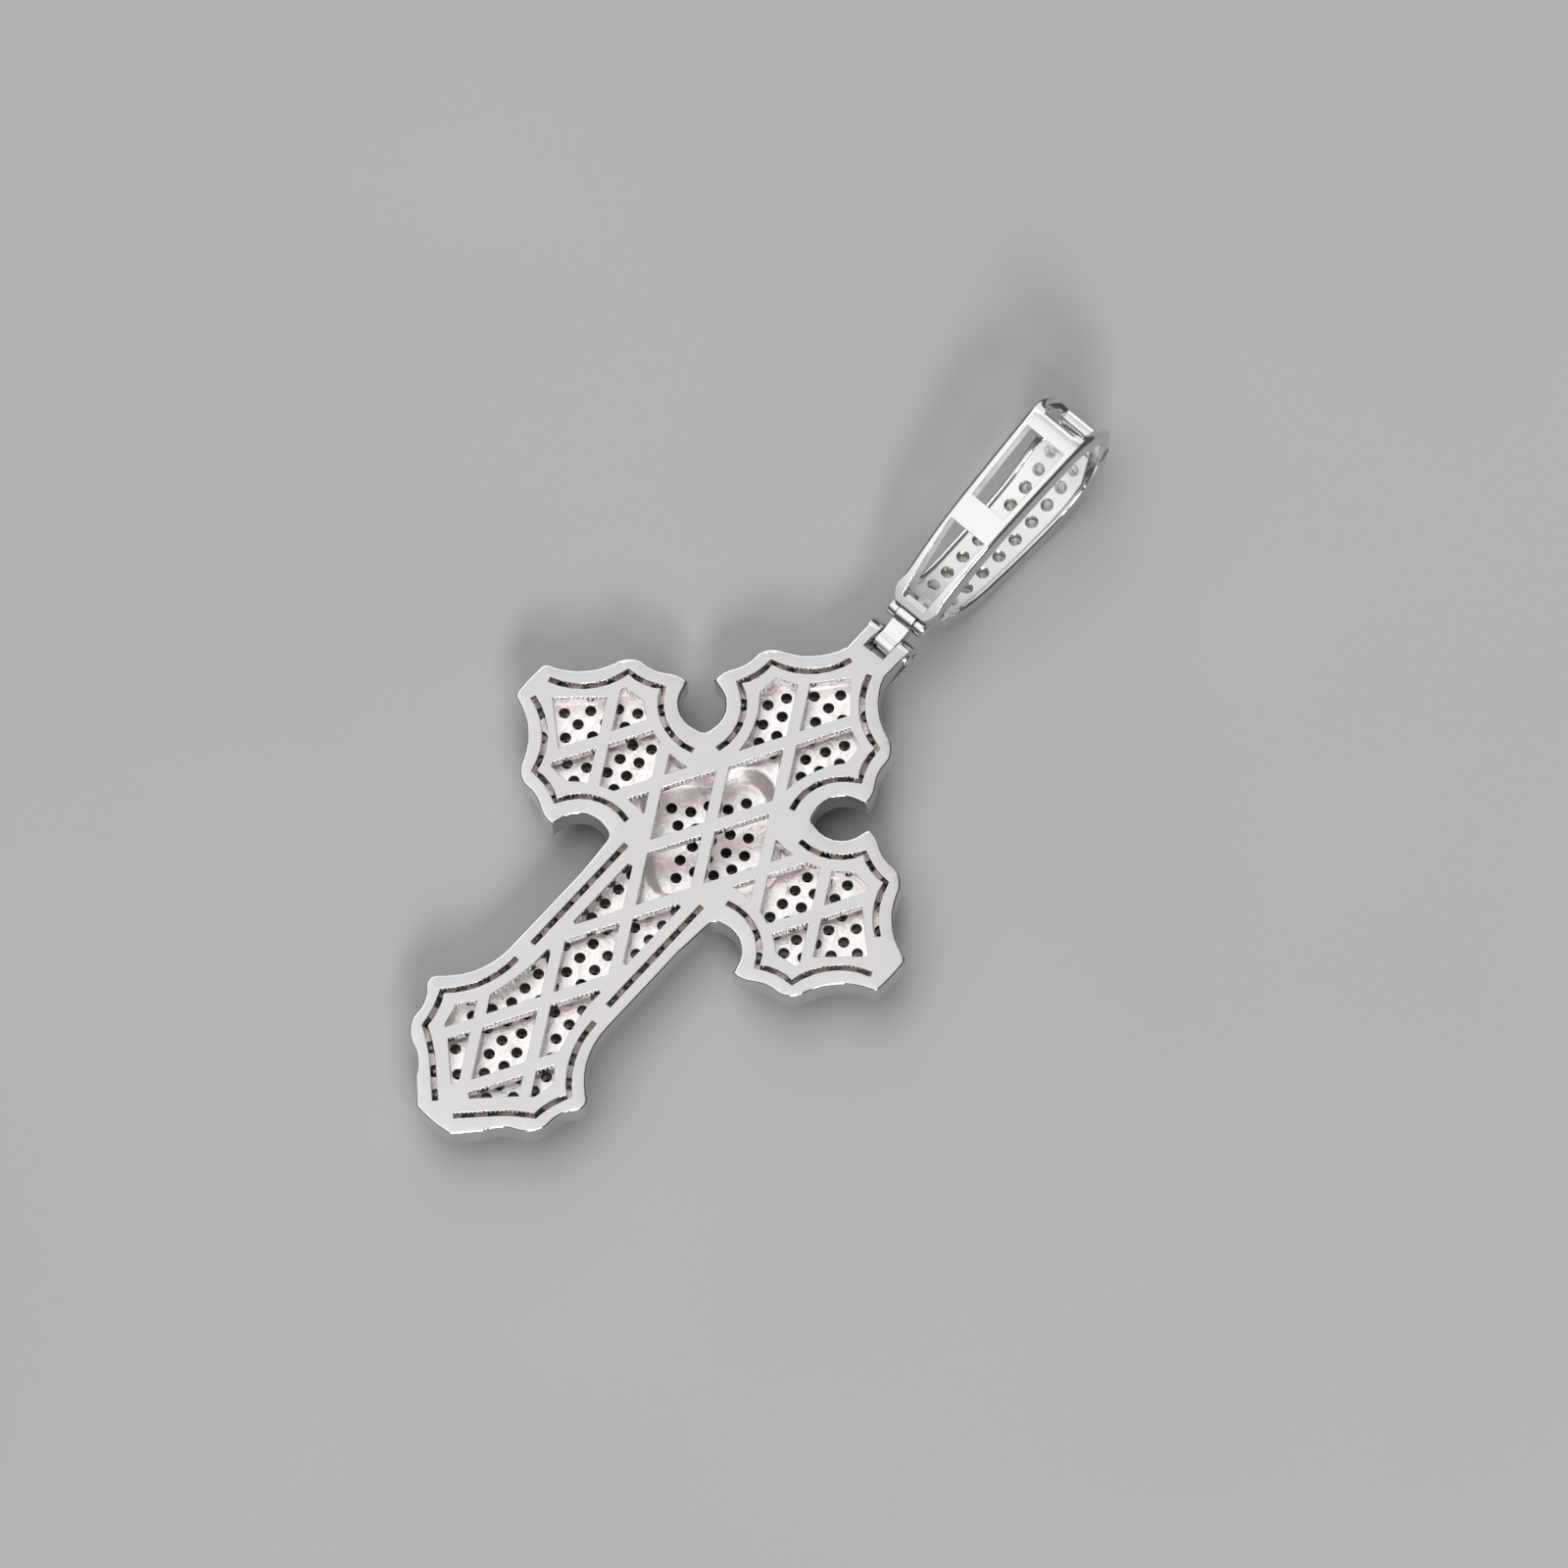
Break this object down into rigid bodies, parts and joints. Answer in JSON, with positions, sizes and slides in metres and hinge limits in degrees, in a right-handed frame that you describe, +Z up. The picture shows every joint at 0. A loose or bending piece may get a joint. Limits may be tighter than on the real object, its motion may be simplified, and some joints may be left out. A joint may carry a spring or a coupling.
{
  "type": "cross pendant",
  "caption": "Silver cross pendant with a pierced lattice back, stone-set front, a hinged link and an openwork bail for a chain, lying face down.",
  "frame": {"origin": "middle of the pendant's length and width, on the surface that it lies on", "axes": "+Z up through the flat back, +Y along the long arm towards the bail, +X across the short arms"},
  "size_m": [0.0344, 0.0702, 0.0102],
  "materials": {
    "silver_cast": "polished",
    "silver_polished": "mirror polish",
    "silver_pin": "polished",
    "clear_stone": "faceted"
  },
  "bodies": {
    "cross": {"cross_body": "silver_cast", "centre_stone": "clear_stone", "boss_stones": "clear_stone", "field_stones": "clear_stone", "border_stones": "clear_stone", "cross_pin": "silver_pin"},
    "link": {"link": "silver_polished"},
    "bail": {"bail_body": "silver_polished", "bail_pin": "silver_pin", "bail_stones": "clear_stone"}
  },
  "joints": [
    {"name": "link_hinge", "type": "hinge", "parent": "cross", "child": "link", "pos_m": [0, 0.0133, 0.00325], "axis": [1, 0, 0], "range_deg": [-70, 70]},
    {"name": "bail_hinge", "type": "hinge", "parent": "link", "child": "bail", "pos_m": [0, 0.0156, 0.0041], "axis": [1, 0, 0], "range_deg": [-60, 60]}
  ]
}
